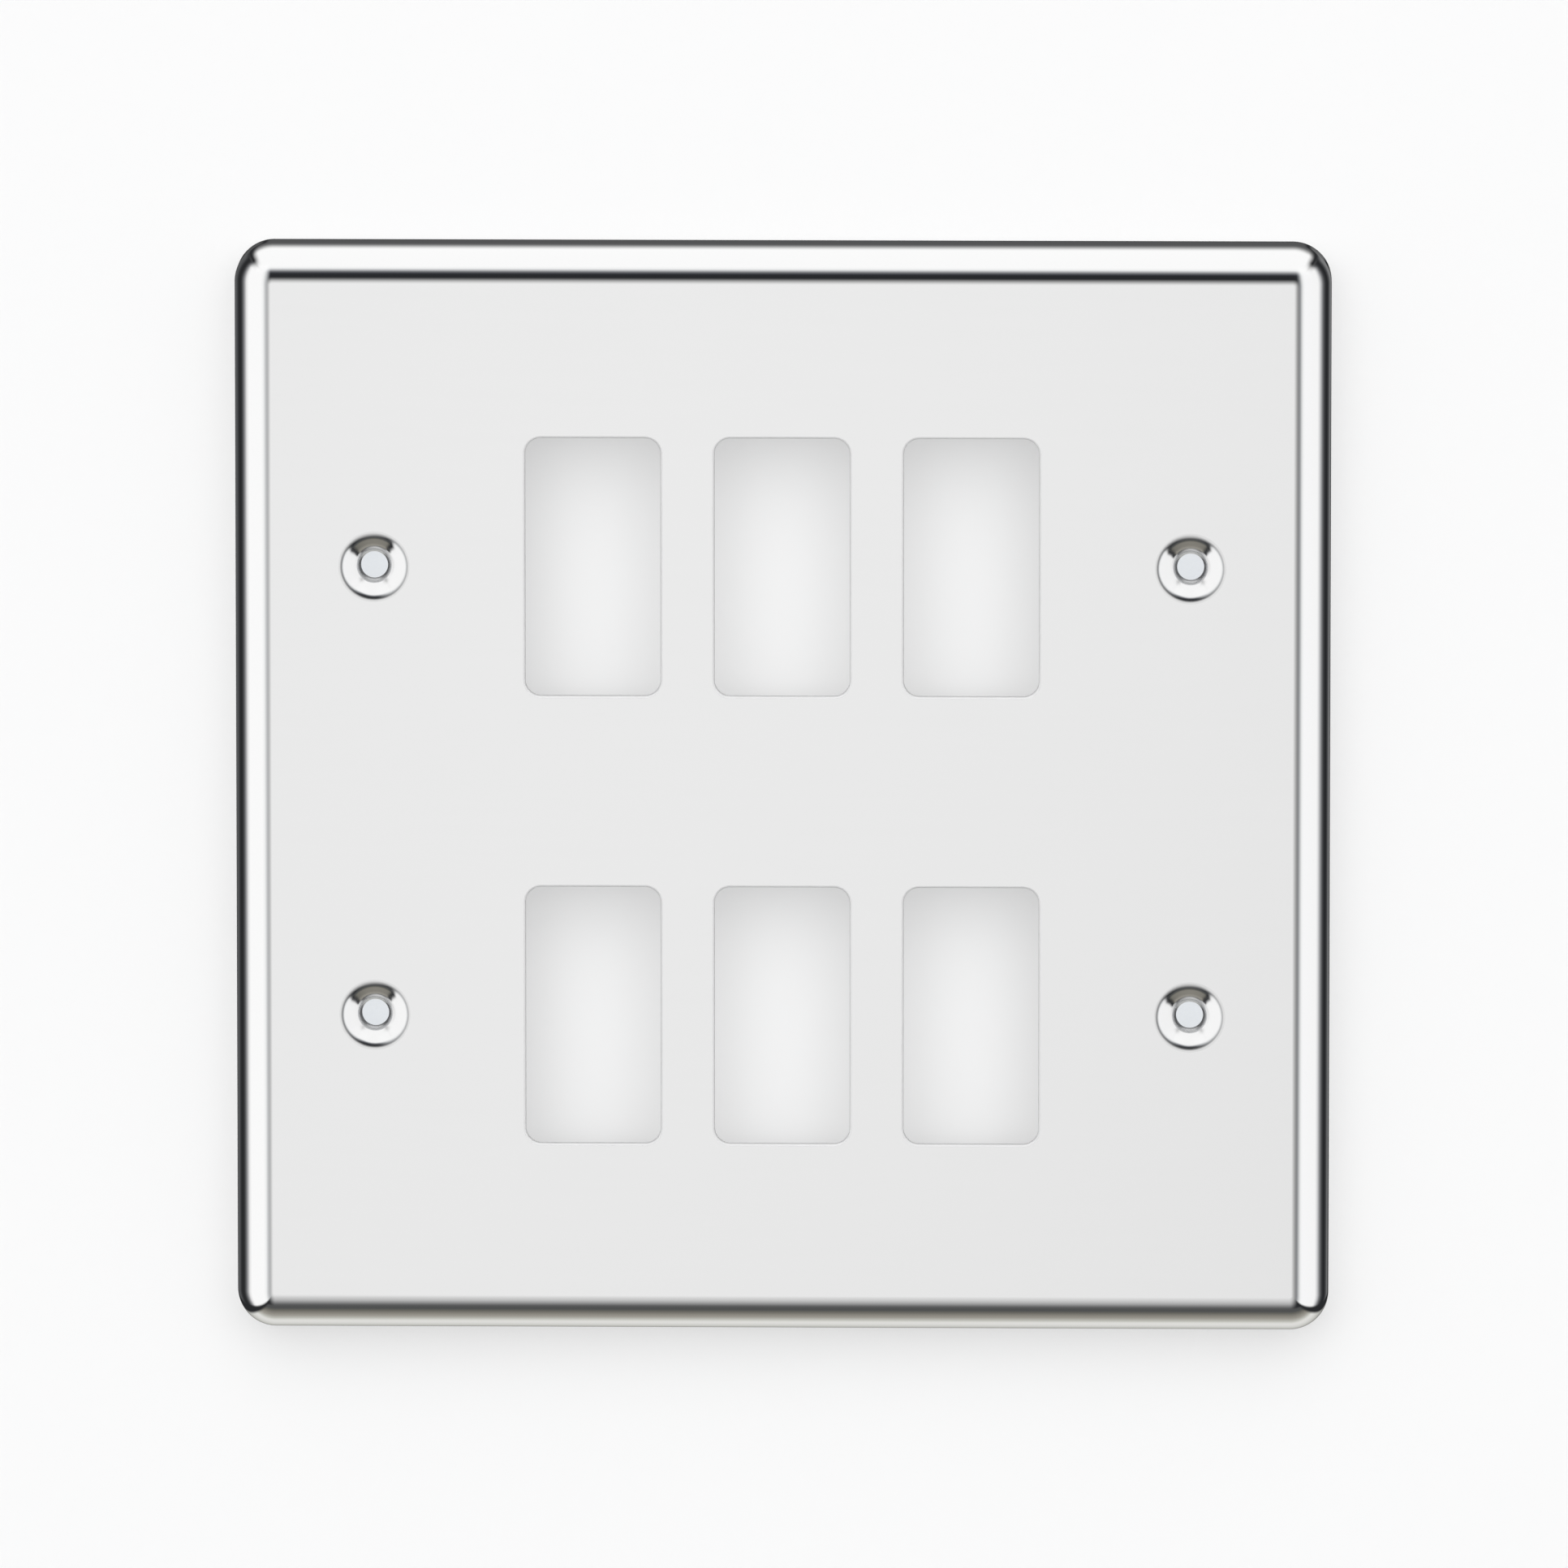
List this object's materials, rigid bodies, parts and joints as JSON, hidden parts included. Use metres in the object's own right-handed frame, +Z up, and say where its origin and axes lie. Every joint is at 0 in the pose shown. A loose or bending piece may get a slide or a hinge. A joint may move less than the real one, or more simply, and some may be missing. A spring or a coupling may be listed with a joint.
{
  "type": "grid switch plate",
  "caption": "Square pressed metal face plate, polished chrome, rolled border, rectangular switch windows and dimpled countersunk fixing holes.",
  "frame": {"origin": "middle of the four fixing holes, on the plane of the rear rim, which lies on the wall", "axes": "+X along the plate's width, +Z up the wall, -Y out of the plate's front"},
  "size_m": [0.146, 0.009, 0.146],
  "materials": {
    "polished_chrome": "bright chrome plate over pressed steel, polished to a mirror"
  },
  "bodies": {
    "root": {"face_plate": "polished_chrome"}
  },
  "joints": []
}
